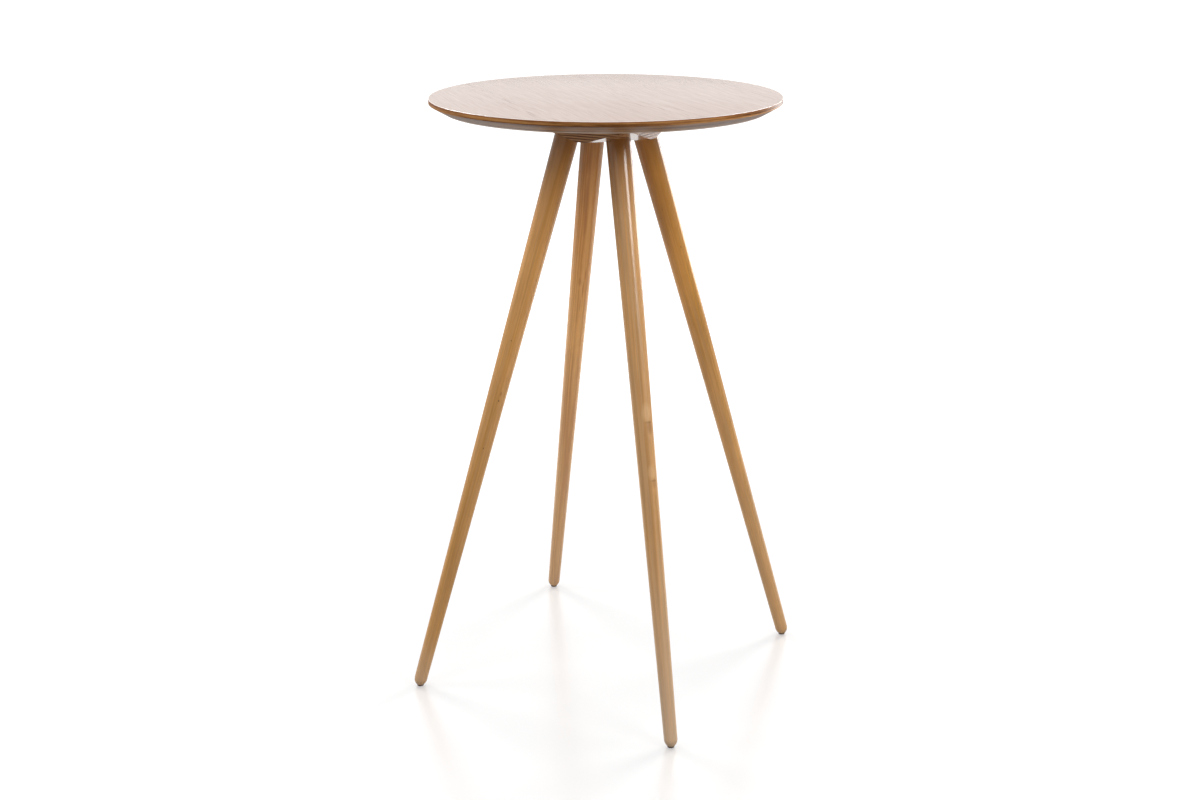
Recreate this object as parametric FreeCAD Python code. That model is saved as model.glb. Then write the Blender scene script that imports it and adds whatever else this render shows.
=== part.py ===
import FreeCAD, Part
import math
import os

# Round bar table: a veneered plywood top on a stacked plywood hub, with four splayed, tapered legs.
# Sizes are in millimetres, +Z is up, and the origin is on the floor below the middle of the top.

# Whole table
TABLE_HEIGHT = 1050.0
TOP_DIAMETER = 600.0

# Round top: plywood core between two veneers, upright edge above, bevelled edge below
TOP_THICKNESS = 22.0
TOP_EDGE_HEIGHT = 8.0
TOP_BEVEL_WIDTH = 25.0
TOP_ARRIS_RADIUS = 1.0
VENEER_THICKNESS = 0.6

# Hub: square boards in a stack, with a wide bevel planed across each lower corner,
# and a roof of solid wood left above the inserts
HUB_SIDE = 180.0
HUB_CORNER_RADIUS = 8.0
HUB_BOARD_THICKNESS = 15.0
HUB_BEVEL_DEGREES = 22.4
HUB_ROOF = 4.8

# Legs: round, straight taper, let into sockets on a circle that the bevels' inner edges touch
LEG_CIRCLE_RADIUS = 70.0
LEG_SPLAY_DEGREES = 16.34
LEG_TOP_DIAMETER = 42.0
LEG_FOOT_DIAMETER = 23.0
FOOT_ROUND_HEIGHT = 15.0
FOOT_TIP_RADIUS = 2.0

# Hanger bolt on each leg's axis, and the threaded insert that takes it in the hub
HANGER_BOLT_DIAMETER = 8.0
HANGER_WOOD_LENGTH = 45.0
HANGER_MACHINE_LENGTH = 17.0
HANGER_CHAMFER = 1.0
HANGER_END_ROOM = 2.0
INSERT_DIAMETER = 13.0
INSERT_LENGTH = 20.0

# Glide under each foot, held by a nail whose head is sunk in the glide
GLIDE_DIAMETER = 12.0
GLIDE_HEIGHT = 3.0
GLIDE_EDGE_CHAMFER = 1.0
GLIDE_RECESS_DEPTH = 1.5
NAIL_DIAMETER = 2.0
NAIL_HEAD_DIAMETER = 5.0
NAIL_HEAD_HEIGHT = 1.0
NAIL_DEPTH = 18.0

# Countersunk screws that hold the hub to the top
SCREW_DIAMETER = 5.0
SCREW_HEAD_DIAMETER = 10.0
SCREW_BITE = 10.0
SCREW_EDGE_INSET = 45.0

# Where things are, worked out from the sizes above
SPLAY = math.radians(LEG_SPLAY_DEGREES)
TOP_RADIUS = TOP_DIAMETER / 2
TOP_BOTTOM_Z = TABLE_HEIGHT - TOP_THICKNESS
HUB_BOARD_NAMES = ("hub_upper_board", "hub_middle_board", "hub_lower_board")
HUB_HEIGHT = len(HUB_BOARD_NAMES) * HUB_BOARD_THICKNESS
HUB_BOTTOM_Z = TOP_BOTTOM_Z - HUB_HEIGHT
LEG_LENGTH = HUB_BOTTOM_Z / math.cos(SPLAY)
INSERT_EDGE_RISE = INSERT_DIAMETER / 2 * math.sin(SPLAY)
INSERT_END = (HUB_HEIGHT - HUB_ROOF - INSERT_EDGE_RISE) / math.cos(SPLAY)
LEG_SOCKET_DEPTH = INSERT_END - INSERT_LENGTH
SCREW_CIRCLE_RADIUS = HUB_SIDE / 2 - SCREW_EDGE_INSET
SCREW_HEAD_HEIGHT = (SCREW_HEAD_DIAMETER - SCREW_DIAMETER) / 2
LEG_AZIMUTHS = {"front_right": -45.0, "back_right": 45.0, "back_left": 135.0, "front_left": 225.0}
SCREW_AZIMUTHS = (0.0, 90.0, 180.0, 270.0)

UP = FreeCAD.Vector(0, 0, 1)
CENTRE = FreeCAD.Vector(0, 0, 0)


def revolved(edges):
    """Closed solid turned about +Z from edges drawn in the XZ plane, each end meeting the next."""
    face = Part.Face(Part.Wire(edges))
    return face.revolve(CENTRE, UP, 360)


def turned(outline):
    """Closed solid turned about +Z from (radius, height) corners joined by straight lines."""
    corners = [FreeCAD.Vector(radius, 0, height) for radius, height in outline]
    return revolved(Part.makePolygon(corners + corners[:1]).Edges)


def tilted_on_bevel_edge(shape, degrees):
    """Move a shape's origin to the middle of a bevel's inner edge and lean its Z axis inwards."""
    shape.Placement = FreeCAD.Placement(
        FreeCAD.Vector(LEG_CIRCLE_RADIUS, 0, HUB_BOTTOM_Z),
        FreeCAD.Rotation(FreeCAD.Vector(0, 1, 0), -degrees),
    )
    return shape


def on_leg_axis(shape):
    """Place a shape drawn along Z, with its origin where the leg's axis enters the hub."""
    return tilted_on_bevel_edge(shape, LEG_SPLAY_DEGREES)


def round_the_table(shape, azimuth):
    """Copy of a shape turned about the table's axis."""
    copy = shape.copy()
    copy.rotate(CENTRE, UP, azimuth)
    return copy


def make_screw_blank():
    """Countersunk screw, head face down on the hub's flat bottom, with a pointed end."""
    shank = SCREW_DIAMETER / 2
    tip_z = TOP_BOTTOM_Z + SCREW_BITE
    screw = turned([
        (0, HUB_BOTTOM_Z),
        (SCREW_HEAD_DIAMETER / 2, HUB_BOTTOM_Z),
        (shank, HUB_BOTTOM_Z + SCREW_HEAD_HEIGHT),
        (shank, tip_z - SCREW_DIAMETER),
        (0, tip_z),
    ])
    screw.translate(FreeCAD.Vector(SCREW_CIRCLE_RADIUS, 0, 0))
    return screw


def make_hanger_bolt():
    """Headless bolt on the leg's axis: pointed wood end in the leg, chamfered end in the hub."""
    radius = HANGER_BOLT_DIAMETER / 2
    point = LEG_SOCKET_DEPTH - HANGER_WOOD_LENGTH
    end = LEG_SOCKET_DEPTH + HANGER_MACHINE_LENGTH
    return on_leg_axis(turned([
        (0, point),
        (radius, point + HANGER_BOLT_DIAMETER),
        (radius, end - HANGER_CHAMFER),
        (radius - HANGER_CHAMFER, end),
        (0, end),
    ]))


def rod_above_socket(diameter, length):
    """Cylinder on the leg's axis that stands on the flat end of the socket, not yet placed."""
    return Part.makeCylinder(diameter / 2, length, FreeCAD.Vector(0, 0, LEG_SOCKET_DEPTH))


def make_insert():
    """Threaded sleeve that lies flush with the end of the socket."""
    sleeve = rod_above_socket(INSERT_DIAMETER, INSERT_LENGTH)
    bore = rod_above_socket(HANGER_BOLT_DIAMETER, INSERT_LENGTH)
    return on_leg_axis(sleeve.cut(bore))


def make_insert_hole():
    """Hole in the hub that takes the sleeve, and the bolt's end where that reaches further."""
    wide = rod_above_socket(INSERT_DIAMETER, INSERT_LENGTH)
    narrow = rod_above_socket(HANGER_BOLT_DIAMETER, HANGER_MACHINE_LENGTH + HANGER_END_ROOM)
    return on_leg_axis(wide.fuse(narrow))


def make_bevel_cutter():
    """Block whose upper face is the plane of the bevel across one lower corner of the hub."""
    reach = 2 * HUB_SIDE
    corner = FreeCAD.Vector(-reach / 2, -reach / 2, -reach)
    return tilted_on_bevel_edge(Part.makeBox(reach, reach, reach, corner), HUB_BEVEL_DEGREES)


def make_leg_blank():
    """Tapered round leg with a domed lower end, before the foot is cut level."""
    wall_end = FOOT_ROUND_HEIGHT - LEG_LENGTH
    top_radius = LEG_TOP_DIAMETER / 2
    foot_radius = LEG_FOOT_DIAMETER / 2
    drawn_in = foot_radius - FOOT_TIP_RADIUS
    dome_radius = (FOOT_ROUND_HEIGHT ** 2 + drawn_in ** 2) / (2 * drawn_in)
    half_way = math.atan2(FOOT_ROUND_HEIGHT, dome_radius - drawn_in) / 2
    end_middle = FreeCAD.Vector(0, 0, LEG_SOCKET_DEPTH)
    end_edge = FreeCAD.Vector(top_radius, 0, LEG_SOCKET_DEPTH)
    dome_start = FreeCAD.Vector(foot_radius, 0, wall_end)
    dome_middle = FreeCAD.Vector(
        foot_radius - dome_radius * (1 - math.cos(half_way)),
        0,
        wall_end - dome_radius * math.sin(half_way),
    )
    tip_edge = FreeCAD.Vector(FOOT_TIP_RADIUS, 0, -LEG_LENGTH)
    tip_middle = FreeCAD.Vector(0, 0, -LEG_LENGTH)
    return on_leg_axis(revolved([
        Part.makeLine(end_middle, end_edge),
        Part.makeLine(end_edge, dome_start),
        Part.Arc(dome_start, dome_middle, tip_edge).toShape(),
        Part.makeLine(tip_edge, tip_middle),
        Part.makeLine(tip_middle, end_middle),
    ]))


def cut_level(leg):
    """Leg cut off parallel to the floor, a glide's height above it."""
    reach = 4 * LEG_LENGTH
    corner = FreeCAD.Vector(-reach / 2, -reach / 2, GLIDE_HEIGHT - reach)
    return leg.cut(Part.makeBox(reach, reach, reach, corner))


def make_glide(place):
    """Flat disc with a chamfered lower rim, a nail hole and a recess for the nail's head."""
    disc = Part.makeCylinder(GLIDE_DIAMETER / 2, GLIDE_HEIGHT)
    lower_rim = [edge for edge in disc.Edges if edge.BoundBox.ZMax < GLIDE_HEIGHT / 2]
    disc = disc.makeChamfer(GLIDE_EDGE_CHAMFER, lower_rim)
    recess = Part.makeCylinder(NAIL_HEAD_DIAMETER / 2, GLIDE_RECESS_DEPTH)
    hole = Part.makeCylinder(NAIL_DIAMETER / 2, GLIDE_HEIGHT)
    glide = disc.cut(recess).cut(hole)
    glide.translate(place)
    return glide


def make_nail(place):
    """Round nail, driven straight up through the glide, with its head under the recess's face."""
    head_z = GLIDE_RECESS_DEPTH - NAIL_HEAD_HEIGHT
    point_z = GLIDE_HEIGHT + NAIL_DEPTH
    nail = turned([
        (0, head_z),
        (NAIL_HEAD_DIAMETER / 2, head_z),
        (NAIL_HEAD_DIAMETER / 2, GLIDE_RECESS_DEPTH),
        (NAIL_DIAMETER / 2, GLIDE_RECESS_DEPTH),
        (NAIL_DIAMETER / 2, point_z - NAIL_DIAMETER),
        (0, point_z),
    ])
    nail.translate(place)
    return nail


def make_top_layers(screws):
    """The top turned as one blank, then parted level into back veneer, core and face veneer."""
    blank = turned([
        (0, TOP_BOTTOM_Z),
        (TOP_RADIUS - TOP_BEVEL_WIDTH, TOP_BOTTOM_Z),
        (TOP_RADIUS, TABLE_HEIGHT - TOP_EDGE_HEIGHT),
        (TOP_RADIUS, TABLE_HEIGHT),
        (0, TABLE_HEIGHT),
    ])
    upper_rim = [edge for edge in blank.Edges if edge.BoundBox.ZMin > TABLE_HEIGHT - VENEER_THICKNESS
                 and edge.BoundBox.XLength > TOP_RADIUS]
    blank = blank.makeFillet(TOP_ARRIS_RADIUS, upper_rim)
    core_z = TOP_BOTTOM_Z + VENEER_THICKNESS
    face_z = TABLE_HEIGHT - VENEER_THICKNESS
    bands = {
        "top_back_veneer": (TOP_BOTTOM_Z, core_z),
        "top_core": (core_z, face_z),
        "top_face_veneer": (face_z, TABLE_HEIGHT),
    }
    layers = {}
    for name, (low_z, high_z) in bands.items():
        slab = Part.makeCylinder(TOP_DIAMETER, high_z - low_z, FreeCAD.Vector(0, 0, low_z))
        layer = blank.common(slab)
        for screw in screws:
            layer = layer.cut(screw)
        layers[name] = layer
    return layers


def make_hub_boards(screws):
    """Square boards with rounded corners, bevelled, then drilled for legs, inserts and screws."""
    corner_cuts = (make_bevel_cutter(), make_leg_blank(), make_insert_hole())
    boards = {}
    for place, name in enumerate(HUB_BOARD_NAMES):
        low_z = TOP_BOTTOM_Z - (place + 1) * HUB_BOARD_THICKNESS
        corner = FreeCAD.Vector(-HUB_SIDE / 2, -HUB_SIDE / 2, low_z)
        board = Part.makeBox(HUB_SIDE, HUB_SIDE, HUB_BOARD_THICKNESS, corner)
        upright = [edge for edge in board.Edges if edge.BoundBox.ZLength > HUB_BOARD_THICKNESS / 2]
        board = board.makeFillet(HUB_CORNER_RADIUS, upright)
        for azimuth in LEG_AZIMUTHS.values():
            for cutter in corner_cuts:
                board = board.cut(round_the_table(cutter, azimuth))
        for screw in screws:
            board = board.cut(screw)
        boards[name] = board
    return boards


def make_leg_sets():
    """One leg with its bolt, insert, glide and nail, copied to the four corners of the hub."""
    bolt = make_hanger_bolt()
    leg = cut_level(make_leg_blank()).cut(bolt)
    foot_face = min(leg.Faces, key=lambda face: face.CenterOfMass.z)
    foot_middle = FreeCAD.Vector(foot_face.CenterOfMass.x, 0, 0)
    nail = make_nail(foot_middle)
    pattern = {
        "leg": leg.cut(nail),
        "hanger_bolt": bolt,
        "threaded_insert": make_insert(),
        "foot_glide": make_glide(foot_middle),
        "glide_nail": nail,
    }
    return {
        f"{name}_{corner}": round_the_table(shape, azimuth)
        for name, shape in pattern.items()
        for corner, azimuth in LEG_AZIMUTHS.items()
    }


screw_blank = make_screw_blank()
hub_screws = [round_the_table(screw_blank, azimuth) for azimuth in SCREW_AZIMUTHS]

pieces = {}
pieces.update(make_top_layers(hub_screws))
pieces.update(make_hub_boards(hub_screws))
pieces.update(make_leg_sets())
pieces["hub_screws"] = Part.makeCompound(hub_screws)

os.makedirs("parts", exist_ok=True)
for name, shape in pieces.items():
    shape.exportStep(f"parts/{name}.step")
    print(f"{name}: {len(shape.Solids)} solid, valid {shape.isValid()}, {shape.Volume / 1000:.2f} cm3")
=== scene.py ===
import math

import bpy
import numpy as np
from mathutils import Matrix, Vector


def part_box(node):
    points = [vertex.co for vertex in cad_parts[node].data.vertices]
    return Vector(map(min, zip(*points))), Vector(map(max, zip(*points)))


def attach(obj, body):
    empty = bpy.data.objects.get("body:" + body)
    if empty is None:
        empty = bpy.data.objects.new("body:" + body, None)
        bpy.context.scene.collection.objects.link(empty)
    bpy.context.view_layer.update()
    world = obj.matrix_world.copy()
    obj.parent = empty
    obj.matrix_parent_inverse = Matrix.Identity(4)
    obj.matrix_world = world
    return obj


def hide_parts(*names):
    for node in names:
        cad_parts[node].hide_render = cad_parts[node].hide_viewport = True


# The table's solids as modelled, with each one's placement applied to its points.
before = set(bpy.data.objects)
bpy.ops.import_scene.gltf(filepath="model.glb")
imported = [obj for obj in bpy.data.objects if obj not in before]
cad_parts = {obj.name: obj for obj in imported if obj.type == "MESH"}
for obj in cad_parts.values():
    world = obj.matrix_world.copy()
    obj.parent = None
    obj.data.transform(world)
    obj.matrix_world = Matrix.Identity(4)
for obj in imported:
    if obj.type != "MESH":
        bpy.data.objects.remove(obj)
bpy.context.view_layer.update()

# Legs: four round, straight-tapered turnings of honey-coloured wood in laminated strips, under
# clear lacquer. Each is let into a splayed socket in the hub and drawn home by its hanger bolt,
# and its domed foot is cut level where the glide sits.
LEG_AZIMUTHS = {"front_right": -45, "back_right": 45, "back_left": 135, "front_left": 225}
LEG_SPLAY = math.radians(16.34)
LEG_CIRCLE_RADIUS = 0.070
LEG_TOP_RADIUS = 0.021
LEG_FOOT_RADIUS = 0.0115
LEG_TIP_RADIUS = 0.002
LEG_DOME_HEIGHT = 0.015
LEG_SOCKET_DEPTH = 0.020
LEG_END_CHAMFER = 0.001
LEG_SEGMENTS = 72
LEG_WALL_ROWS = 48
LEG_DOME_ROWS = 24
HUB_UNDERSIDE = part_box("hub_lower_board")[0].z
GLIDE_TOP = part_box("foot_glide_front_right")[1].z
LEG_LENGTH = HUB_UNDERSIDE / math.cos(LEG_SPLAY)
LEG_WALL_LOW = LEG_DOME_HEIGHT - LEG_LENGTH
LEG_WALL_HIGH = LEG_SOCKET_DEPTH - LEG_END_CHAMFER


def lathe(profile, segments):
    """Points and faces turned about Z: ring k has the radius and height of profile row k.
    The first and last rows lie on the axis, and each becomes one pole."""
    turn = np.arange(segments) * 2 * np.pi / segments
    circle = np.stack([np.cos(turn), np.sin(turn)], 1)
    rings = profile[1:-1]
    points = np.empty((len(rings), segments, 3))
    points[:, :, :2] = rings[:, None, :1] * circle[None]
    points[:, :, 2] = rings[:, None, 1]
    poles = np.array([[0, 0, profile[0, 1]], [0, 0, profile[-1, 1]]])
    vertices = np.concatenate([poles, points.reshape(-1, 3)])
    index = 2 + np.arange(len(rings) * segments).reshape(len(rings), segments)
    beside = np.roll(index, -1, axis=1)
    quads = np.stack([index[:-1], beside[:-1], beside[1:], index[1:]], -1).reshape(-1, 4)
    first = np.stack([np.zeros(segments, int), beside[0], index[0]], 1)
    last = np.stack([np.ones(segments, int), index[-1], beside[-1]], 1)
    return vertices, quads.tolist() + first.tolist() + last.tolist()


SHARP_EDGE_ANGLE = math.radians(35)


def add_piece(name, vertices, faces, material, node):
    """New piece on the table's one body, standing for a CAD node. It is shaded smooth, apart from
    edges that turn by more than the sharp edge's angle."""
    mesh = bpy.data.meshes.new(name)
    mesh.from_pydata(vertices.tolist(), [], faces)
    mesh.polygons.foreach_set("use_smooth", np.ones(len(mesh.polygons), bool))
    mesh.set_sharp_from_angle(angle=SHARP_EDGE_ANGLE)
    mesh.materials.append(material)
    piece = bpy.data.objects.new(name, mesh)
    bpy.context.scene.collection.objects.link(piece)
    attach(piece, "root")
    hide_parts(node)


def leg_placement(azimuth):
    """Matrix from a leg's own frame, Z up its axis, to the table: tilted in, then turned round."""
    lean = Matrix.Rotation(-LEG_SPLAY, 4, "Y")
    seat = Matrix.Translation(Vector((LEG_CIRCLE_RADIUS, 0, HUB_UNDERSIDE)))
    return Matrix.Rotation(math.radians(azimuth), 4, "Z") @ seat @ lean


def leg_radius(along):
    """Radius of the straight taper at a height on the leg's own axis."""
    share = (along - LEG_WALL_LOW) / (LEG_WALL_HIGH - LEG_WALL_LOW)
    return LEG_FOOT_RADIUS + (LEG_TOP_RADIUS - LEG_FOOT_RADIUS) * share


def leg_points(azimuth):
    """A straight taper over a circular dome, with all that lies below the glide's top
    slid up along the leg's axis to that level."""
    drawn_in = LEG_FOOT_RADIUS - LEG_TIP_RADIUS
    dome = (LEG_DOME_HEIGHT ** 2 + drawn_in ** 2) / (2 * drawn_in)
    sweep = np.linspace(math.atan2(LEG_DOME_HEIGHT, dome - drawn_in), 0, LEG_DOME_ROWS)
    dome_rows = np.stack([
        LEG_FOOT_RADIUS - dome * (1 - np.cos(sweep)),
        LEG_WALL_LOW - dome * np.sin(sweep),
    ], 1)
    along = np.linspace(LEG_WALL_LOW, LEG_WALL_HIGH, LEG_WALL_ROWS)[1:]
    wall_rows = np.stack([leg_radius(along), along], 1)
    profile = np.concatenate([
        [[0, -LEG_LENGTH]],
        dome_rows,
        wall_rows,
        [[LEG_TOP_RADIUS - LEG_END_CHAMFER, LEG_SOCKET_DEPTH], [0, LEG_SOCKET_DEPTH]],
    ])
    points, faces = lathe(profile, LEG_SEGMENTS)
    floor_limit = GLIDE_TOP - HUB_UNDERSIDE - points[:, 0] * math.sin(LEG_SPLAY)
    points[:, 2] = np.maximum(points[:, 2], floor_limit / math.cos(LEG_SPLAY))
    place = np.array(leg_placement(azimuth))
    return points @ place[:3, :3].T + place[:3, 3], faces


def add_node(tree, kind, inputs, **settings):
    """New shader node. Each input is a constant, or another node's output that is linked to it."""
    node = tree.nodes.new("ShaderNode" + kind)
    for name, value in settings.items():
        setattr(node, name, value)
    for name, value in inputs.items():
        if isinstance(value, bpy.types.NodeSocket):
            tree.links.new(value, node.inputs[name])
        else:
            node.inputs[name].default_value = value
    return node


def add_math(tree, operation, *numbers):
    """Number worked out from numbers, each a constant or another node's output."""
    return add_node(tree, "Math", dict(enumerate(numbers)), operation=operation).outputs[0]


def add_measure(tree, operation, *vectors):
    """Number worked out from vectors, such as a length or a dot product."""
    return add_node(tree, "VectorMath", dict(enumerate(vectors)), operation=operation).outputs["Value"]


def add_ramp(tree, factor, stops):
    """Colour that runs through the given (position, colour) stops as the factor grows."""
    node = add_node(tree, "ValToRGB", {"Fac": factor})
    elements = node.color_ramp.elements
    while len(elements) < len(stops):
        elements.new(1)
    for element, (position, colour) in zip(elements, stops):
        element.position = position
        element.color = (*colour, 1)
    return node.outputs["Color"]


def add_range(tree, value, low, high, to_low, to_high):
    """Value carried from one range to another, and held at its ends."""
    spans = {"From Min": low, "From Max": high, "To Min": to_low, "To Max": to_high}
    return add_node(tree, "MapRange", {"Value": value, **spans}).outputs["Result"]


def add_tint(tree, factor, colour, tint):
    """Colour mixed towards a fixed tint by a factor. The mix node's sockets 0, 6 and 7 take them."""
    tint_inputs = {0: factor, 6: colour, 7: (*tint, 1)}
    return add_node(tree, "Mix", tint_inputs, data_type="RGBA").outputs[2]


def weighted_sum(tree, *terms):
    """Sum of outputs, each times its weight."""
    total = 0
    for output, weight in terms:
        total = add_math(tree, "MULTIPLY_ADD", output, weight, total)
    return total


def drawn_noise(tree, place, stretch, scale, detail, shift=0):
    """Noise whose coordinates are shrunk on the axes that it is drawn out along."""
    drawn_out = {"Vector": place, "Location": (shift, shift, shift), "Scale": stretch}
    drawn = add_node(tree, "Mapping", drawn_out).outputs[0]
    noise_inputs = {"Vector": drawn, "Scale": scale, "Detail": detail}
    return add_node(tree, "TexNoise", noise_inputs).outputs["Fac"]


def new_look(name):
    """New material. Gives it, its node tree, its shader and the Object coordinates."""
    look = bpy.data.materials.new(name)
    look.use_nodes = True
    tree = look.node_tree
    place = add_node(tree, "TexCoord", {}).outputs["Object"]
    return look, tree, tree.nodes["Principled BSDF"], place


# Nearly all of a noise lies between these two levels.
NOISE_LOW = 0.3
NOISE_HIGH = 0.7


def add_gloss(tree, shader, noise, rough_at_low, rough_at_high):
    """Roughness of the shader that follows a noise from its low level to its high one."""
    rough = add_range(tree, noise, NOISE_LOW, NOISE_HIGH, rough_at_low, rough_at_high)
    tree.links.new(rough, shader.inputs["Roughness"])


def add_relief(tree, shader, height, depth, strength):
    """Bump on the shader from a height that runs from 0 to 1 over a real depth."""
    bump = add_node(tree, "Bump", {"Height": height, "Distance": depth, "Strength": strength})
    tree.links.new(bump.outputs[0], shader.inputs["Normal"])


# Each leg is its own blank of wood. The shares are of strips, fibres, slow drift and growth rings.
# The ring tilt leans its pith, in degrees, and the shift takes another stretch of every noise.
# Grey is the strength of its greyer strips. Then comes painted light, the wood paler towards the
# foot: where along the leg it begins and how strong it gets. Then the same for painted shade, the
# wood deeper near the hub, under the top.
LEG_WOODS = {
    "front_right": {
        "deep": (0.54, 0.278, 0.098), "pale": (0.83, 0.438, 0.158),
        "shares": (0.45, 0.30, 0.22, 0.03), "ring_tilt": 1.0, "shift": 0.0,
        "grey": 0.30, "foot_light": (-0.66, 0.46), "top_shade": (-0.13, 0.90),
    },
    "front_left": {
        "deep": (0.55, 0.270, 0.077), "pale": (0.79, 0.396, 0.118),
        "shares": (0.30, 0.32, 0.34, 0.04), "ring_tilt": 1.6, "shift": 3.1,
        "grey": 0.15, "foot_light": (-0.92, 0.34), "top_shade": (-0.22, 0.58),
    },
    "back_left": {
        "deep": (0.67, 0.305, 0.090), "pale": (0.90, 0.480, 0.156),
        "shares": (0.24, 0.32, 0.28, 0.16), "ring_tilt": 3.0, "shift": 7.7,
        "grey": 0.10, "foot_light": (-0.30, 0.24), "top_shade": (-0.44, 0.52),
    },
    "back_right": {
        "deep": (0.53, 0.252, 0.056), "pale": (0.80, 0.382, 0.088),
        "shares": (0.22, 0.34, 0.40, 0.04), "ring_tilt": 2.0, "shift": 5.3,
        "grey": 0.12, "foot_light": (-0.30, 0.22), "top_shade": (-0.32, 0.58),
    },
}
NODE_PALE = (0.92, 0.60, 0.31)
NODE_DARK = (0.28, 0.115, 0.04)
STRIP_ORANGE = (0.56, 0.27, 0.085)
PIN_DARK = (0.03, 0.012, 0.005)
FLAME_RED = (0.36, 0.12, 0.04)
# Marks in the wood: turn round the leg in degrees, place along it, half width, half length, tint
# and strength.
LEG_MARKS = {
    "front_right": [
        (8, -0.4560, 0.0100, 0.020, NODE_PALE, 0.62),
        (17, -0.4723, 0.0090, 0.0026, NODE_DARK, 0.50),
        (22, -0.4814, 0.0070, 0.014, NODE_DARK, 0.45),
        (10, -0.5570, 0.0085, 0.017, NODE_PALE, 0.55),
        (20, -0.5705, 0.0080, 0.0024, NODE_DARK, 0.45),
        (22, -0.5745, 0.0060, 0.011, NODE_DARK, 0.35),
        (-27, -0.4236, 0.0035, 0.045, STRIP_ORANGE, 0.50),
        (-13, -0.5062, 0.0040, 0.035, STRIP_ORANGE, 0.50),
        (-16, -0.6900, 0.0042, 0.110, STRIP_ORANGE, 0.50),
    ],
    "front_left": [
        (91, -0.4704, 0.0011, 0.0024, PIN_DARK, 1.0),
        (76, -0.5602, 0.0010, 0.0020, PIN_DARK, 1.0),
        (70, -0.3610, 0.0010, 0.0018, PIN_DARK, 0.8),
        (93, -0.4573, 0.0022, 0.0045, FLAME_RED, 0.6),
    ],
    "back_left": [
        (155, -0.1300, 0.0055, 0.050, FLAME_RED, 0.50),
        (161, -0.1750, 0.0050, 0.032, FLAME_RED, 0.40),
        (151, -0.0542, 0.0050, 0.030, FLAME_RED, 0.35),
        (157, -0.2960, 0.0040, 0.012, FLAME_RED, 0.45),
        (190, -0.2810, 0.0014, 0.018, FLAME_RED, 0.60),
        (181, -0.3130, 0.0014, 0.020, FLAME_RED, 0.60),
        (172, -0.3460, 0.0014, 0.018, FLAME_RED, 0.50),
    ],
    "back_right": [
        (-80, -0.2100, 0.0010, 0.0030, PIN_DARK, 0.6),
        (-123, -0.1343, 0.0010, 0.0045, FLAME_RED, 0.8),
    ],
}
# Painted shade near the hub: its colour and the height along the leg where it is full. Then the colour
# of the painted light towards the foot.
LEG_TOP_SHADE = (0.36, 0.14, 0.025)
LEG_SHADE_HIGH = -0.01
LEG_FOOT_LIGHT = (0.80, 0.66, 0.52)
LEG_PITH_OFFSET = 0.035
GREY_STRIP = (0.62, 0.42, 0.25)
GREY_STRIPS_PER_METRE = 320
STRIPS_PER_METRE = 130
FIBRES_PER_METRE = 520
DRIFTS_PER_METRE = 26
PORES_PER_METRE = 1500
RING_SCALE = 75


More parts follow.
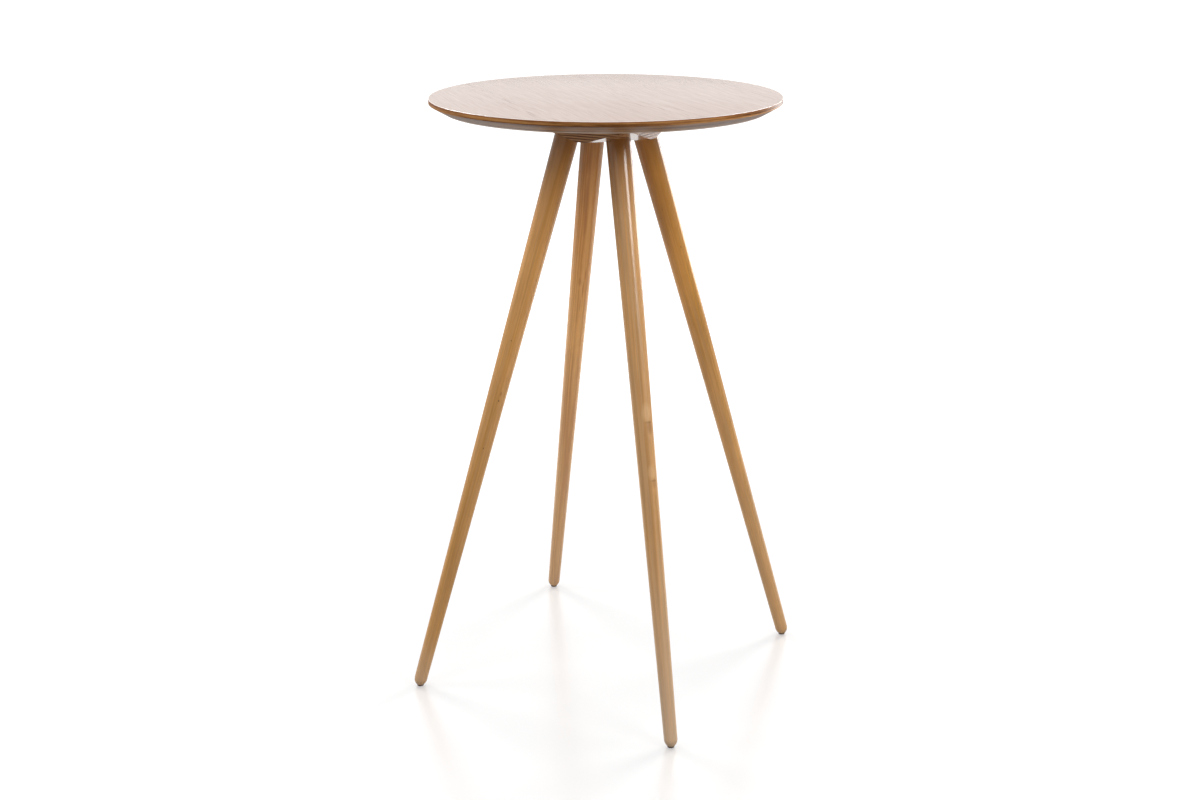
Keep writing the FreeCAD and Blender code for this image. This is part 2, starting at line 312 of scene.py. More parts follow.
def leg_wood(corner, azimuth, wood, marks):
    """Wood in the leg's own frame, grain along Z: strips and fibres are noise drawn out along Z, and
    growth rings are circles about a tilted pith beside the leg. Pores are dark dashes, painted shade
    makes the wood deeper near the hub, painted light makes it paler near the foot, and each mark is
    a tint that fades out over an ellipsoid."""
    look, tree, shader, place = new_look(f"leg_wood_{corner}")
    own = leg_placement(azimuth).inverted()
    own_frame = {"Vector": place, "Location": own.translation, "Rotation": own.to_euler()}
    blank = add_node(tree, "Mapping", own_frame).outputs[0]
    strips = drawn_noise(tree, blank, (1, 1, 0.015), STRIPS_PER_METRE, 1, wood["shift"])
    fibres = drawn_noise(tree, blank, (1, 1, 0.012), FIBRES_PER_METRE, 3, wood["shift"])
    drift = drawn_noise(tree, blank, (1, 1, 0.25), DRIFTS_PER_METRE, 2, wood["shift"])
    pith = {
        "Vector": blank,
        "Location": (LEG_PITH_OFFSET, 0, 0),
        "Rotation": (0, math.radians(wood["ring_tilt"]), 0),
        "Scale": (1, 1, 0.15),
    }
    sawn = add_node(tree, "Mapping", pith).outputs[0]
    ring_inputs = {
        "Vector": sawn, "Scale": RING_SCALE,
        "Distortion": 5, "Detail": 2, "Detail Scale": 0.6,
    }
    rings = add_node(tree, "TexWave", ring_inputs, wave_type="RINGS", rings_direction="Z").outputs["Fac"]
    tone = weighted_sum(tree, *zip((strips, fibres, drift, rings), wood["shares"]))
    colour = add_ramp(tree, tone, [(0.38, wood["deep"]), (0.62, wood["pale"])])
    pores = drawn_noise(tree, blank, (1, 1, 0.035), PORES_PER_METRE, 1, wood["shift"])
    dashes = add_range(tree, pores, 0.60, 0.72, 0, 0.5)
    colour = add_tint(tree, dashes, colour, wood["deep"])
    greyed = drawn_noise(tree, blank, (1, 1, 0.014), GREY_STRIPS_PER_METRE, 2, wood["shift"] + 1)
    grey_share = add_range(tree, greyed, 0.44, 0.58, 0, wood["grey"])
    colour = add_tint(tree, grey_share, colour, GREY_STRIP)
    along_leg = add_node(tree, "SeparateXYZ", {"Vector": blank}).outputs["Z"]
    # Painted shade: the wood is tinted deeper near the hub, where the top shades the leg.
    shade_low, shade_most = wood["top_shade"]
    top_shaded = add_range(tree, along_leg, shade_low, LEG_SHADE_HIGH, 0, shade_most)
    colour = add_tint(tree, top_shaded, colour, LEG_TOP_SHADE)
    # Painted light: the wood is tinted paler and whiter towards the foot, as the bright floor would
    # light it.
    foot_light_high, foot_light_most = wood["foot_light"]
    foot_lit = add_range(tree, along_leg, -LEG_LENGTH, foot_light_high, foot_light_most, 0)
    colour = add_tint(tree, foot_lit, colour, LEG_FOOT_LIGHT)
    streaky = add_range(tree, fibres, 0.35, 0.65, 0.5, 1)
    for turn, along, half_width, half_length, tint, strength in marks:
        side = math.radians(turn)
        radius = leg_radius(along)
        spot = {
            "Vector": blank,
            "Location": (radius * math.cos(side), radius * math.sin(side), along),
            "Scale": (half_width, half_width, half_length),
        }
        near = add_node(tree, "Mapping", spot, vector_type="TEXTURE").outputs[0]
        fade = add_range(tree, add_measure(tree, "LENGTH", near), 0.4, 1, strength, 0)
        share = add_math(tree, "MULTIPLY", fade, streaky)
        colour = add_tint(tree, share, colour, tint)
    tree.links.new(colour, shader.inputs["Base Color"])
    add_gloss(tree, shader, fibres, 0.13, 0.21)
    add_relief(tree, shader, fibres, 0.0001, 0.08)
    return look


for corner, azimuth in LEG_AZIMUTHS.items():
    points, faces = leg_points(azimuth)
    wood = leg_wood(corner, azimuth, LEG_WOODS[corner], LEG_MARKS[corner])
    add_piece(f"turned_leg_{corner}", points, faces, wood, f"leg_{corner}")

# Foot glides: brown moulded discs with a rounded lower rim, one under each foot. A round-headed
# steel nail, sunk in the glide's recess, goes up into the leg and holds it.
GLIDE_RADIUS = 0.006
GLIDE_RIM_RADIUS = 0.001
RECESS_RADIUS = 0.0025
RECESS_DEPTH = 0.0015
NAIL_RADIUS = 0.001
NAIL_HEAD_RADIUS = 0.0024
NAIL_HEAD_EDGE = 0.0010
NAIL_HEAD_LOW = 0.0006
NAIL_POINT_LENGTH = 0.002
SMALL_SEGMENTS = 40
RIM_ROWS = 7
NAIL_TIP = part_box("glide_nail_front_right")[1].z


def glide_profile():
    """Recess, flat ring, quarter-round lower rim, upright side and flat top, from the axis out
    and back."""
    sweep = np.linspace(-np.pi / 2, 0, RIM_ROWS)
    rim_centre = GLIDE_RADIUS - GLIDE_RIM_RADIUS
    rim = np.stack([
        rim_centre + GLIDE_RIM_RADIUS * np.cos(sweep),
        GLIDE_RIM_RADIUS + GLIDE_RIM_RADIUS * np.sin(sweep),
    ], 1)
    recess = [[0, RECESS_DEPTH], [RECESS_RADIUS, RECESS_DEPTH], [RECESS_RADIUS, 0]]
    return np.concatenate([recess, rim, [[GLIDE_RADIUS, GLIDE_TOP], [0, GLIDE_TOP]]])


def nail_profile():
    """Shallow domed head, upright head edge, shank and point."""
    sweep = np.linspace(0, np.pi / 2, RIM_ROWS)
    dome = np.stack([
        NAIL_HEAD_RADIUS * np.sin(sweep),
        NAIL_HEAD_EDGE - (NAIL_HEAD_EDGE - NAIL_HEAD_LOW) * np.cos(sweep),
    ], 1)
    shank = [
        [NAIL_HEAD_RADIUS, RECESS_DEPTH],
        [NAIL_RADIUS, RECESS_DEPTH],
        [NAIL_RADIUS, NAIL_TIP - NAIL_POINT_LENGTH],
        [0, NAIL_TIP],
    ]
    return np.concatenate([dome, shank])


GLIDE_DARK = (0.140, 0.078, 0.052)
GLIDE_PALE = (0.220, 0.132, 0.092)
GLIDE_ROUGHNESS = 0.45
GLIDE_SPECKLES_PER_METRE = 2500


def moulded_plastic():
    """Brown plastic with the fine grain of its mould."""
    look, tree, shader, place = new_look("glide_plastic")
    speckle = drawn_noise(tree, place, (1, 1, 1), GLIDE_SPECKLES_PER_METRE, 2)
    colour = add_ramp(tree, speckle, [(NOISE_LOW, GLIDE_DARK), (NOISE_HIGH, GLIDE_PALE)])
    tree.links.new(colour, shader.inputs["Base Color"])
    shader.inputs["Roughness"].default_value = GLIDE_ROUGHNESS
    add_relief(tree, shader, speckle, 0.00005, 0.3)
    return look


ZINC_PALE = (0.62, 0.63, 0.65)
ZINC_GREY = (0.47, 0.48, 0.50)
ZINC_ROUGHNESS = 0.28
METAL_MOTTLES_PER_METRE = 900


def plated_metal(name, pale, grey, rough):
    """Plated or cast metal: a mottled coating, a little rougher where it is greyer."""
    look, tree, shader, place = new_look(name)
    mottle = drawn_noise(tree, place, (1, 1, 1), METAL_MOTTLES_PER_METRE, 3)
    colour = add_ramp(tree, mottle, [(0.35, grey), (0.65, pale)])
    tree.links.new(colour, shader.inputs["Base Color"])
    add_gloss(tree, shader, mottle, rough + 0.1, rough)
    shader.inputs["Metallic"].default_value = 1
    add_relief(tree, shader, mottle, 0.00003, 0.2)
    return look


glide_look = moulded_plastic()
steel_look = plated_metal("zinc_steel", ZINC_PALE, ZINC_GREY, ZINC_ROUGHNESS)

for corner in LEG_AZIMUTHS:
    low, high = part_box(f"foot_glide_{corner}")
    middle = np.array([(low.x + high.x) / 2, (low.y + high.y) / 2, 0])
    for name, profile, look, slot, node in (
        ("glide", glide_profile(), glide_look, "glide_plastic", f"foot_glide_{corner}"),
        ("nail", nail_profile(), steel_look, "zinc_steel", f"glide_nail_{corner}"),
    ):
        points, faces = lathe(profile, SMALL_SEGMENTS)
        add_piece(f"{name}_{corner}", points + middle, faces, look, node)

# Hub: three square plywood boards glued in a stack under the top, with a wide bevel planed
# across each lower corner and a splayed socket for each leg. The plies show as stripes on its edges.
HUB_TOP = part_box("hub_upper_board")[1].z
PLY_PAIR_HEIGHT = 0.0043
# The bands are shifted so that a dark ply lies at the hub's top, as painted shade under the table top.
TOP_SHADE_PLY_DEPTH = 0.0008
PLY_PALE = (0.76, 0.43, 0.21)
PLY_DARK = (0.26, 0.106, 0.038)
PLY_FIBRES_PER_METRE = 700
PLY_DRIFTS_PER_METRE = 25
HUB_COAT_ROUGHNESS = 0.08
# At a scale of 1 the wave texture's bands lie this far apart.
WAVE_SPACING = math.tau / 20


def hub_plywood():
    """Lacquered plies one above the other, dark and pale in turn: bands along Z, wavy by noise,
    each with its own fibres. A dark ply is set at the very top as painted shade under the table top."""
    look, tree, shader, place = new_look("hub_plywood")
    # Painted shade: the bands start so that a dark ply lies along the hub's top, under the table top.
    lowered = {"Vector": place, "Location": (0, 0, TOP_SHADE_PLY_DEPTH - HUB_TOP)}
    from_top = add_node(tree, "Mapping", lowered).outputs[0]
    band_inputs = {
        "Vector": from_top, "Scale": WAVE_SPACING / PLY_PAIR_HEIGHT,
        "Distortion": 1.2, "Detail": 2, "Detail Scale": 0.25,
    }
    plies = add_node(tree, "TexWave", band_inputs, bands_direction="Z").outputs["Fac"]
    fibres = drawn_noise(tree, place, (0.06, 0.06, 1), PLY_FIBRES_PER_METRE, 3)
    drift = drawn_noise(tree, place, (1, 1, 1), PLY_DRIFTS_PER_METRE, 2)
    tone = weighted_sum(tree, (plies, 0.45), (fibres, 0.35), (drift, 0.2))
    colour = add_ramp(tree, tone, [(NOISE_LOW, PLY_DARK), (NOISE_HIGH, PLY_PALE)])
    tree.links.new(colour, shader.inputs["Base Color"])
    add_gloss(tree, shader, fibres, 0.16, 0.26)
    shader.inputs["Coat Weight"].default_value = 1
    shader.inputs["Coat Roughness"].default_value = HUB_COAT_ROUGHNESS
    add_relief(tree, shader, fibres, 0.0001, 0.3)
    return look


hub_look = hub_plywood()
for name in ("hub_upper_board", "hub_middle_board", "hub_lower_board"):
    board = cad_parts[name].data
    board.materials.clear()
    board.materials.append(hub_look)

# Hub screws: four countersunk steel wood screws with a cross recess, driven up through the hub
# into the top's core, heads flush with the hub's flat underside.
SCREW_CIRCLE_RADIUS = 0.045
SCREW_HEAD_RADIUS = 0.005
SCREW_SHANK_RADIUS = 0.0025
SCREW_HEAD_HEIGHT = 0.0025
SCREW_POINT_LENGTH = 0.005
SCREW_PLAIN_LENGTH = 0.018
SCREW_PITCH = 0.0022
SCREW_THREAD_DEPTH = 0.0008
SCREW_SEGMENTS = 64
SCREW_SIDES = {"right": 0, "back": 90, "left": 180, "front": 270}
CROSS_HALF_LENGTH = 0.0028
CROSS_HALF_WIDTH = 0.0007
CROSS_DEPTH = 0.0018
HEAD_FACE_ROWS = 26
THREAD_ROWS_PER_PITCH = 8
SCREW_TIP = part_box("hub_screws")[1].z


def straight_run(start, end, pitch):
    """Rows of (radius, height) from one profile point to another, close enough to carry a thread."""
    count = math.ceil(THREAD_ROWS_PER_PITCH * abs(end[1] - start[1]) / pitch)
    return np.linspace(start, end, count)


def cut_thread(points, low, high, pitch, depth):
    """Helical groove in a lathed rod: a triangle wave of height over pitch less the turn,
    that fades in and out over one pitch at the thread's ends."""
    height = points[:, 2]
    radius = np.hypot(points[:, 0], points[:, 1])
    phase = height / pitch - np.arctan2(points[:, 1], points[:, 0]) / math.tau
    groove = 1 - np.abs(2 * (phase % 1) - 1)
    fade = np.clip((height - low) / pitch, 0, 1) * np.clip((high - height) / pitch, 0, 1)
    sunk = np.minimum(depth, radius / 2) * groove * fade
    points[:, :2] *= (1 - sunk / np.maximum(radius, depth))[:, None]


def screw_points():
    """Countersunk head, threaded shank and point. The head's face is pushed up inside a cross of
    two slots whose depth falls to nothing along each slot and sharply across it."""
    face = np.linspace(0, SCREW_HEAD_RADIUS, HEAD_FACE_ROWS)
    neck = (SCREW_SHANK_RADIUS, HUB_UNDERSIDE + SCREW_HEAD_HEIGHT)
    shoulder = (SCREW_SHANK_RADIUS, SCREW_TIP - SCREW_POINT_LENGTH)
    tip = (0, SCREW_TIP)
    profile = np.concatenate([
        np.stack([face, np.full(HEAD_FACE_ROWS, HUB_UNDERSIDE)], 1),
        straight_run(neck, shoulder, SCREW_PITCH),
        straight_run(shoulder, tip, SCREW_PITCH)[1:],
    ])
    points, faces = lathe(profile, SCREW_SEGMENTS)
    across = np.sort(np.abs(points[:, :2]), axis=1)
    slope = np.clip(1 - across[:, 1] / CROSS_HALF_LENGTH, 0, 1)
    wall = np.clip(2 - 2 * across[:, 0] / CROSS_HALF_WIDTH, 0, 1)
    on_face = points[:, 2] < neck[1]
    points[:, 2] += on_face * CROSS_DEPTH * slope * wall
    cut_thread(points, HUB_UNDERSIDE + SCREW_PLAIN_LENGTH, SCREW_TIP, SCREW_PITCH, SCREW_THREAD_DEPTH)
    return points, faces


for side, azimuth in SCREW_SIDES.items():
    points, faces = screw_points()
    turn = math.radians(azimuth)
    spot = SCREW_CIRCLE_RADIUS * np.array([math.cos(turn), math.sin(turn), 0])
    add_piece(f"hub_screw_{side}", points + spot, faces, steel_look, "hub_screws")

# Leg fixings: a zinc-plated hanger bolt on each leg's axis, with a coarse wood thread in the leg
# and a machine thread above it, and the die-cast sleeve that takes the machine thread in the hub.
# The sleeve screws into the hub by its own coarse outer thread.
BOLT_RADIUS = 0.004
BOLT_WOOD_LENGTH = 0.045
BOLT_MACHINE_LENGTH = 0.017
BOLT_POINT_LENGTH = 0.008
BOLT_CHAMFER = 0.001
BOLT_COLLAR_LENGTH = 0.003
WOOD_PITCH = 0.0028
WOOD_THREAD_DEPTH = 0.0012
MACHINE_PITCH = 0.00125
MACHINE_THREAD_DEPTH = 0.00065
SLEEVE_RADIUS = 0.0065
SLEEVE_LENGTH = 0.020
SLEEVE_PITCH = 0.0035
SLEEVE_THREAD_DEPTH = 0.0014
FIXING_SEGMENTS = 48


def bolt_points():
    """Pointed rod with a wood thread below the leg's end and a machine thread above it."""
    point = LEG_SOCKET_DEPTH - BOLT_WOOD_LENGTH
    end = LEG_SOCKET_DEPTH + BOLT_MACHINE_LENGTH
    shoulder = (BOLT_RADIUS, point + BOLT_POINT_LENGTH)
    rim = (BOLT_RADIUS, end - BOLT_CHAMFER)
    profile = np.concatenate([
        straight_run((0, point), shoulder, MACHINE_PITCH),
        straight_run(shoulder, rim, MACHINE_PITCH)[1:],
        [[BOLT_RADIUS - BOLT_CHAMFER, end], [0, end]],
    ])
    points, faces = lathe(profile, FIXING_SEGMENTS)
    cut_thread(points, point, LEG_SOCKET_DEPTH - BOLT_COLLAR_LENGTH, WOOD_PITCH, WOOD_THREAD_DEPTH)
    cut_thread(points, LEG_SOCKET_DEPTH, end, MACHINE_PITCH, MACHINE_THREAD_DEPTH)
    return points, faces


def sleeve_points():
    """Tube whose section is a closed loop: up its threaded outer wall and down its plain bore."""
    low = LEG_SOCKET_DEPTH
    high = LEG_SOCKET_DEPTH + SLEEVE_LENGTH
    outer = straight_run((SLEEVE_RADIUS, low), (SLEEVE_RADIUS, high), SLEEVE_PITCH)
    loop = np.concatenate([outer, [[BOLT_RADIUS, high], [BOLT_RADIUS, low]]])
    turn = np.arange(FIXING_SEGMENTS) * math.tau / FIXING_SEGMENTS
    points = np.stack([
        loop[:, :1] * np.cos(turn),
        loop[:, :1] * np.sin(turn),
        np.repeat(loop[:, 1:], FIXING_SEGMENTS, 1),
    ], -1).reshape(-1, 3)
    cut_thread(points[:len(outer) * FIXING_SEGMENTS], low, high, SLEEVE_PITCH, SLEEVE_THREAD_DEPTH)
    index = np.arange(len(points)).reshape(len(loop), FIXING_SEGMENTS)
    beside = np.roll(index, -1, 1)
    above = np.roll(index, -1, 0)
    quads = np.stack([index, beside, np.roll(beside, -1, 0), above], -1).reshape(-1, 4)
    return points, quads.tolist()


ALLOY_PALE = (0.50, 0.49, 0.47)
ALLOY_GREY = (0.36, 0.35, 0.33)
ALLOY_ROUGHNESS = 0.38
alloy_look = plated_metal("insert_alloy", ALLOY_PALE, ALLOY_GREY, ALLOY_ROUGHNESS)

for corner, azimuth in LEG_AZIMUTHS.items():
    place = np.array(leg_placement(azimuth))
    for name, (points, faces), look, slot, node in (
        ("hanger_bolt", bolt_points(), steel_look, "zinc_steel", f"hanger_bolt_{corner}"),
        ("threaded_sleeve", sleeve_points(), alloy_look, "insert_alloy", f"threaded_insert_{corner}"),
    ):
        placed = points @ place[:3, :3].T + place[:3, 3]
        add_piece(f"{name}_of_leg_{corner}", placed, faces, look, node)

# Round top: a plywood core with an upright upper edge and a wide bevel below it, faced with
# a pale wood veneer above and a balancing veneer below, its upper rim eased to a small arris.
TOP_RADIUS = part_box("top_core")[1].x
FACE_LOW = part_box("top_face_veneer")[0].z
FACE_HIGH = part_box("top_face_veneer")[1].z
CORE_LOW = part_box("top_core")[0].z
BACK_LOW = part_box("top_back_veneer")[0].z
TOP_EDGE_HEIGHT = 0.008
TOP_BEVEL_WIDTH = 0.025
EDGE_LOW = FACE_HIGH - TOP_EDGE_HEIGHT
TOP_ARRIS_RADIUS = 0.001
TOP_SEGMENTS = 256
ARRIS_ROWS = 5


def arris(low_angle, high_angle):
    """Rows of the rim's round, between two angles above the horizontal."""
    sweep = np.linspace(low_angle, high_angle, ARRIS_ROWS)
    return np.stack([
        TOP_RADIUS - TOP_ARRIS_RADIUS * (1 - np.cos(sweep)),
        FACE_HIGH - TOP_ARRIS_RADIUS * (1 - np.sin(sweep)),
    ], 1)


def bevel_radius(height):
    """Radius of the bevelled lower edge at a height: a straight slope in to the underside."""
    rise = EDGE_LOW - BACK_LOW
    return TOP_RADIUS - TOP_BEVEL_WIDTH * (1 - (height - BACK_LOW) / rise)


joint_angle = math.asin(1 - (FACE_HIGH - FACE_LOW) / TOP_ARRIS_RADIUS)
face_profile = np.concatenate([
    [[0, FACE_LOW]], arris(joint_angle, math.pi / 2), [[0, FACE_HIGH]],
])
core_profile = np.concatenate([
    [[0, CORE_LOW], [bevel_radius(CORE_LOW), CORE_LOW], [TOP_RADIUS, EDGE_LOW]],
    arris(0, joint_angle),
    [[0, FACE_LOW]],
])
back_profile = np.array([
    [0, BACK_LOW],
    [bevel_radius(BACK_LOW), BACK_LOW],
    [bevel_radius(CORE_LOW), CORE_LOW],
    [0, CORE_LOW],
])

FACE_GRAIN_TURN = math.radians(43)
FACE_DEEP = (0.352, 0.262, 0.222)
FACE_PALE = (0.440, 0.355, 0.318)
FACE_PORE = (0.20, 0.125, 0.090)
FACE_BANDS_SCALE = 14
FACE_FIBRES_PER_METRE = 420
FACE_PORES_PER_METRE = 330
FACE_DRIFTS_PER_METRE = 7
GRAIN_BEND = 0.024
GRAIN_BENDS_PER_METRE = 9
LEAF_WIDTH = 0.21
HEART_OFFSET = 0.046
HEART_NEAR = 0.006
HEART_FAR = 0.030
PORES_NEAR_HEART = 0.60
PORES_FAR_FROM_HEART = 0.10
# Painted highlight on the arris round the rim: its colour, its strength and how far it fades.
RIM_HIGHLIGHT = (0.86, 0.81, 0.78)
RIM_HIGHLIGHT_SHARE = 0.6
RIM_HIGHLIGHT_FADE = 0.0003


def face_veneer():
    """Flat-cut veneer in leaves laid side by side, grain along a line turned in plan that wanders
    gently by noise. Wavy bands run along the grain, and pores drawn out along it lie thicker near
    each leaf's heart line. A thin ring at the rim is tinted paler, a painted highlight on the arris."""
    look, tree, shader, place = new_look("face_veneer")
    turned = {"Vector": place, "Rotation": (0, 0, FACE_GRAIN_TURN)}
    leaf = add_node(tree, "Mapping", turned).outputs[0]
    wander = drawn_noise(tree, leaf, (0.6, 1, 1), GRAIN_BENDS_PER_METRE, 1)
    bend = {0: wander, 1: (0, GRAIN_BEND, 0), 2: leaf}
    bent = add_node(tree, "VectorMath", bend, operation="MULTIPLY_ADD").outputs[0]
    across = add_node(tree, "SeparateXYZ", {"Vector": bent}).outputs["Y"]
    off_centre = add_math(tree, "SUBTRACT", across, HEART_OFFSET)
    from_heart = add_math(tree, "PINGPONG", off_centre, LEAF_WIDTH / 2)
    drawn = add_node(tree, "Mapping", {"Vector": bent, "Scale": (0.1, 1, 1)}).outputs[0]
    band_inputs = {
        "Vector": drawn, "Scale": FACE_BANDS_SCALE,
        "Distortion": 9, "Detail": 3, "Detail Scale": 0.6,
    }
    bands = add_node(tree, "TexWave", band_inputs, bands_direction="Y").outputs["Fac"]
    fibres = drawn_noise(tree, bent, (0.03, 1, 1), FACE_FIBRES_PER_METRE, 4)
    drift = drawn_noise(tree, leaf, (0.4, 1, 1), FACE_DRIFTS_PER_METRE, 2)
    tone = weighted_sum(tree, (bands, 0.05), (fibres, 0.55), (drift, 0.40))
    colour = add_ramp(tree, tone, [(0.32, FACE_DEEP), (0.68, FACE_PALE)])
    pores = drawn_noise(tree, bent, (0.05, 1, 1), FACE_PORES_PER_METRE, 2, 2.0)
    thick = add_range(tree, from_heart, HEART_NEAR, HEART_FAR, PORES_NEAR_HEART, PORES_FAR_FROM_HEART)
    dashes = add_range(tree, pores, 0.56, 0.68, 0, 1)
    colour = add_tint(tree, add_math(tree, "MULTIPLY", dashes, thick), colour, FACE_PORE)
    flat = add_node(tree, "Mapping", {"Vector": place, "Scale": (1, 1, 0)}).outputs[0]
    from_axis = add_measure(tree, "LENGTH", flat)
    rim = TOP_RADIUS - TOP_ARRIS_RADIUS
    # Painted highlight: a thin paler ring along the arris at the rim.
    rim_lit = add_range(tree, from_axis, rim - RIM_HIGHLIGHT_FADE, rim + RIM_HIGHLIGHT_FADE, 0, RIM_HIGHLIGHT_SHARE)
    colour = add_tint(tree, rim_lit, colour, RIM_HIGHLIGHT)
    tree.links.new(colour, shader.inputs["Base Color"])
    add_gloss(tree, shader, fibres, 0.17, 0.25)
    add_relief(tree, shader, fibres, 0.00006, 0.2)
    return look


# Stain on the edge, from its darkest streaks to its palest: level of the streaks and colour.
EDGE_STAINS = [
    (0.39, (0.125, 0.045, 0.010)),
    (0.50, (0.320, 0.135, 0.037)),
    (0.61, (0.49, 0.23, 0.075)),
]
# Plies that stand out on the edge: middle height, half height, tint and strength.
EDGE_PLIES = (
    (FACE_LOW - 0.0008, 0.0010, (0.24, 0.058, 0.012), 0.55),
    (CORE_LOW + 0.0008, 0.0015, (0.62, 0.44, 0.31), 0.95),
)
EDGE_FIBRES_PER_METRE = 900
EDGE_SPECULAR = 0.17
# Painted shade on the bevel, which faces down: its tint, its strength and the height over which it fades
# in.
BEVEL_SHADE = (0.07, 0.017, 0.002)
BEVEL_SHADE_SHARE = 0.3
BEVEL_SHADE_FADE = 0.0005


def stained_edge():
    """Stained and lacquered plywood edge: streaks of noise drawn out round the rim, thin in height.
    The bevel, which cuts across the plies and faces down, is tinted darker as painted shade."""
    look, tree, shader, place = new_look("plywood_edge")
    streaks = drawn_noise(tree, place, (5, 5, 260), 1, 4)
    fibres = drawn_noise(tree, place, (0.05, 0.05, 1), EDGE_FIBRES_PER_METRE, 3, 1.0)
    tone = weighted_sum(tree, (streaks, 0.7), (fibres, 0.3))
    colour = add_ramp(tree, tone, EDGE_STAINS)
    height = add_node(tree, "SeparateXYZ", {"Vector": place}).outputs["Z"]
    # Painted shade: the bevel, which faces down, is tinted darker.
    bevel_shaded = add_range(tree, height, EDGE_LOW - BEVEL_SHADE_FADE, EDGE_LOW, BEVEL_SHADE_SHARE, 0)
    colour = add_tint(tree, bevel_shaded, colour, BEVEL_SHADE)
    for middle, half_height, tint, strength in EDGE_PLIES:
        off_level = add_math(tree, "ABSOLUTE", add_math(tree, "SUBTRACT", height, middle))
        share = add_range(tree, off_level, half_height / 2, half_height, strength, 0)
        colour = add_tint(tree, share, colour, tint)
    tree.links.new(colour, shader.inputs["Base Color"])
    add_gloss(tree, shader, fibres, 0.34, 0.44)
    shader.inputs["Specular IOR Level"].default_value = EDGE_SPECULAR
    add_relief(tree, shader, streaks, 0.0001, 0.25)
    return look


BACK_DEEP = (0.26, 0.125, 0.05)
BACK_PALE = (0.45, 0.25, 0.12)
BACK_FIBRES_PER_METRE = 500
BACK_FIGURE_PER_METRE = 40


def back_veneer():
    """Plain balancing veneer with its grain along X, a little darker and rougher than the face."""
    look, tree, shader, place = new_look("back_veneer")
    fibres = drawn_noise(tree, place, (0.02, 1, 1), BACK_FIBRES_PER_METRE, 3)
    figure = drawn_noise(tree, place, (0.08, 1, 1), BACK_FIGURE_PER_METRE, 2)
    tone = weighted_sum(tree, (fibres, 0.5), (figure, 0.5))
    colour = add_ramp(tree, tone, [(0.36, BACK_DEEP), (0.64, BACK_PALE)])
    tree.links.new(colour, shader.inputs["Base Color"])
    add_gloss(tree, shader, fibres, 0.35, 0.48)
    add_relief(tree, shader, fibres, 0.0001, 0.25)
    return look


for name, profile, look, slot, node in (
    ("veneered_face", face_profile, face_veneer(), "face_veneer", "top_face_veneer"),
    ("plywood_core", core_profile, stained_edge(), "plywood", "top_core"),
    ("balancing_veneer", back_profile, back_veneer(), "back_veneer", "top_back_veneer"),
):
    points, faces = lathe(profile, TOP_SEGMENTS)
    add_piece(name, points, faces, look, node)

# Studio: a plain white floor with a faint sheen, a backdrop that reads white, and softboxes round
# the table. The strongest stand high behind it and at its left, and lesser ones light the legs.
CAMERA_AZIMUTH = math.radians(27.25)
# The level direction in which the camera looks at the table.
AWAY = Vector((-math.sin(CAMERA_AZIMUTH), math.cos(CAMERA_AZIMUTH), 0))
FLOOR_HALF_WIDTH = 20.0
FLOOR_COLOUR = 0.35
FLOOR_COLOUR_SEEN = 0.25
FLOOR_SHEEN = 0.3
FLOOR_ROUGHNESS = 0.26
# The floor's glow to the camera near the table and far from it, and the distances between which
# it grows from the one to the other.
SHADOW_GLOW = 0.38
OPEN_GLOW = 1.0
SHADOW_REACH = (0.7, 2.5)
# The floor's glow to glossy rays: the distances behind the table over which it rises and over which
# it fades, and its strength before and after it fades.
MIRRORED_RISE = (-0.1, 1.1)
MIRRORED_FADE = (1.6, 2.4)
MIRRORED_GLOW = 0.6
MIRRORED_GLOW_FAR = 0.3

corner_signs = np.array([[-1, -1, 0], [1, -1, 0], [1, 1, 0], [-1, 1, 0]])
floor_mesh = bpy.data.meshes.new("floor")
floor_mesh.from_pydata((corner_signs * FLOOR_HALF_WIDTH).tolist(), [], [[0, 1, 2, 3]])
floor = bpy.data.objects.new("floor", floor_mesh)
bpy.context.scene.collection.objects.link(floor)


def white_floor():
    """Floor that reads white to the camera, less by its own glow where the table's shadow falls, with
    a sheen that mirrors the feet faintly. To glossy rays it glows only behind the table."""
    look = bpy.data.materials.new("floor")
    look.use_nodes = True
    tree = look.node_tree
    tree.nodes.clear()
    rays = add_node(tree, "LightPath", {}).outputs
    place = add_node(tree, "TexCoord", {}).outputs["Object"]
    reach = add_measure(tree, "LENGTH", place)
    away = add_measure(tree, "DOT_PRODUCT", place, AWAY)
    white = add_range(tree, reach, *SHADOW_REACH, SHADOW_GLOW, OPEN_GLOW)
    rise = add_range(tree, away, *MIRRORED_RISE, 0, 1)
    fade = add_range(tree, away, *MIRRORED_FADE, MIRRORED_GLOW, MIRRORED_GLOW_FAR)
    mirrored = add_math(tree, "MULTIPLY", fade, rise)
    seen = weighted_sum(tree, (rays["Is Glossy Ray"], mirrored), (rays["Is Camera Ray"], white))
    pale = add_range(tree, rays["Is Camera Ray"], 0, 1, FLOOR_COLOUR, FLOOR_COLOUR_SEEN)
    matt = add_node(tree, "BsdfDiffuse", {"Color": pale}).outputs[0]
    shine = add_math(tree, "MULTIPLY", rays["Is Camera Ray"], FLOOR_SHEEN)
    sheen = add_node(tree, "BsdfGlossy", {"Color": shine, "Roughness": FLOOR_ROUGHNESS}).outputs[0]
    glow = add_node(tree, "Emission", {"Strength": seen}).outputs[0]
    surface = add_node(tree, "AddShader", {0: matt, 1: sheen}).outputs[0]
    surface = add_node(tree, "AddShader", {0: surface, 1: glow}).outputs[0]
    add_node(tree, "OutputMaterial", {"Surface": surface})
    return look


floor_mesh.materials.append(white_floor())

BACKDROP_MIRRORED = 0.5
FILL_IN_FRONT = 0.09
FILL_BEHIND = 0.36
# Cosine to the camera's direction at which the fill reaches its full strength before and behind.
FILL_SPREAD = 0.5


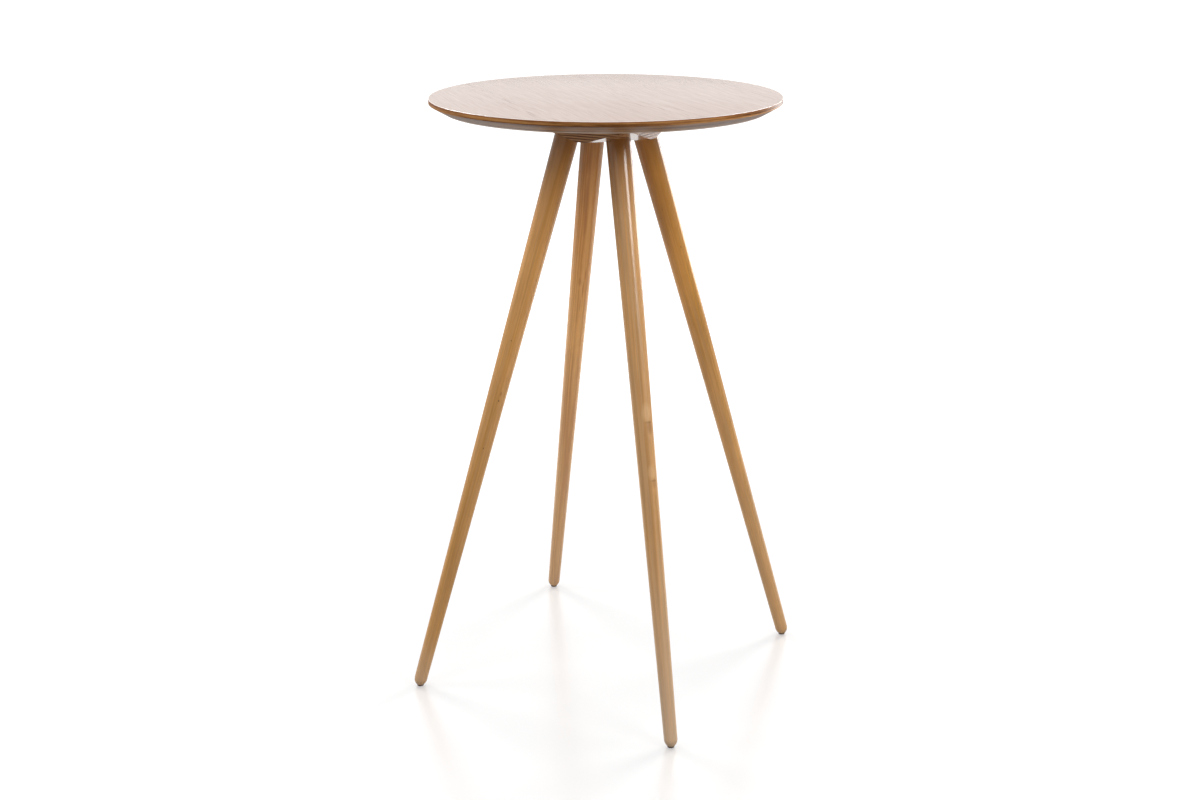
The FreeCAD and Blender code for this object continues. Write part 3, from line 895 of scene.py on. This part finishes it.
def backdrop():
    """Surroundings that read white to the camera and pale in reflections, and that otherwise give
    a little light, most of it from behind the table."""
    world = bpy.data.worlds.new("studio")
    world.use_nodes = True
    tree = world.node_tree
    tree.nodes.clear()
    rays = add_node(tree, "LightPath", {}).outputs
    aim = add_node(tree, "TexCoord", {}).outputs["Generated"]
    away = add_measure(tree, "DOT_PRODUCT", aim, AWAY)
    fill = add_range(tree, away, -FILL_SPREAD, FILL_SPREAD, FILL_IN_FRONT, FILL_BEHIND)
    mirrored = weighted_sum(tree, (rays["Is Glossy Ray"], BACKDROP_MIRRORED), (fill, 1))
    strength = add_math(tree, "MAXIMUM", rays["Is Camera Ray"], mirrored)
    shade = add_node(tree, "Background", {"Color": (1, 1, 1, 1), "Strength": strength}).outputs[0]
    add_node(tree, "OutputWorld", {"Surface": shade})
    return world


bpy.context.scene.world = backdrop()

# Softboxes: azimuth round the table from its front in degrees, distance, height, height of the point
# aimed at, width and height of the face, and watts.
SOFTBOXES = {
    "back_softbox": (165, 2.2, 2.5, 0.6, 0.9, 0.9, 45),
    "back_left_softbox": (-110, 2.2, 2.5, 0.6, 0.9, 0.9, 43),
    "left_softbox": (-65, 2.2, 2.5, 0.6, 0.9, 0.9, 25),
    "back_right_softbox": (120, 2.2, 2.5, 0.6, 0.9, 0.9, 14),
    "overhead_softbox": (27, 0.2, 3.2, 0.6, 1.6, 1.6, 22),
    "back_low_softbox": (165, 2.2, 0.9, 0.6, 0.9, 0.9, 13),
    "front_softbox": (-20, 2.2, 2.0, 0.6, 0.9, 0.9, 14),
    "right_strip": (77, 2.2, 1.75, 0.95, 0.9, 0.6, 22),
    "right_low_strip": (77, 2.2, 1.32, 0.80, 0.9, 0.25, 2.5),
}


def add_softbox(name, azimuth, distance, height, aim_height, width, tall, watts):
    """Rectangular area lamp at an azimuth round the table, facing a point on its axis."""
    lamp = bpy.data.lights.new(name, "AREA")
    lamp.shape = "RECTANGLE"
    lamp.size = width
    lamp.size_y = tall
    lamp.energy = watts
    box = bpy.data.objects.new(name, lamp)
    turn = math.radians(azimuth)
    box.location = (distance * math.sin(turn), -distance * math.cos(turn), height)
    aim = Vector((0, 0, aim_height)) - box.location
    box.rotation_euler = aim.to_track_quat("-Z", "Y").to_euler()
    box.visible_camera = False
    bpy.context.scene.collection.objects.link(box)


for name, settings in SOFTBOXES.items():
    add_softbox(name, *settings)

# Camera: at standing height in front of the table, a little to the right of its front,
# with the photograph's own field of view.
CAMERA_EYE = Vector((1.3661, -2.6526, 1.4505))
CAMERA_HEADING = math.radians(27.461)
CAMERA_TILT = math.radians(90 - 17.523)
CAMERA_ROLL = math.radians(-0.168)
CAMERA_SENSOR_MM = 36.0
CAMERA_LENS_MM = 52.46
camera = bpy.data.cameras.new("camera")
camera.sensor_width = CAMERA_SENSOR_MM
camera.lens = CAMERA_LENS_MM
eye = bpy.data.objects.new("camera", camera)
eye.matrix_world = (
    Matrix.Translation(CAMERA_EYE)
    @ Matrix.Rotation(CAMERA_HEADING, 4, "Z")
    @ Matrix.Rotation(CAMERA_TILT, 4, "X")
    @ Matrix.Rotation(CAMERA_ROLL, 4, "Z")
)
bpy.context.scene.collection.objects.link(eye)
bpy.context.scene.camera = eye
bpy.context.scene.view_settings.view_transform = "Standard"
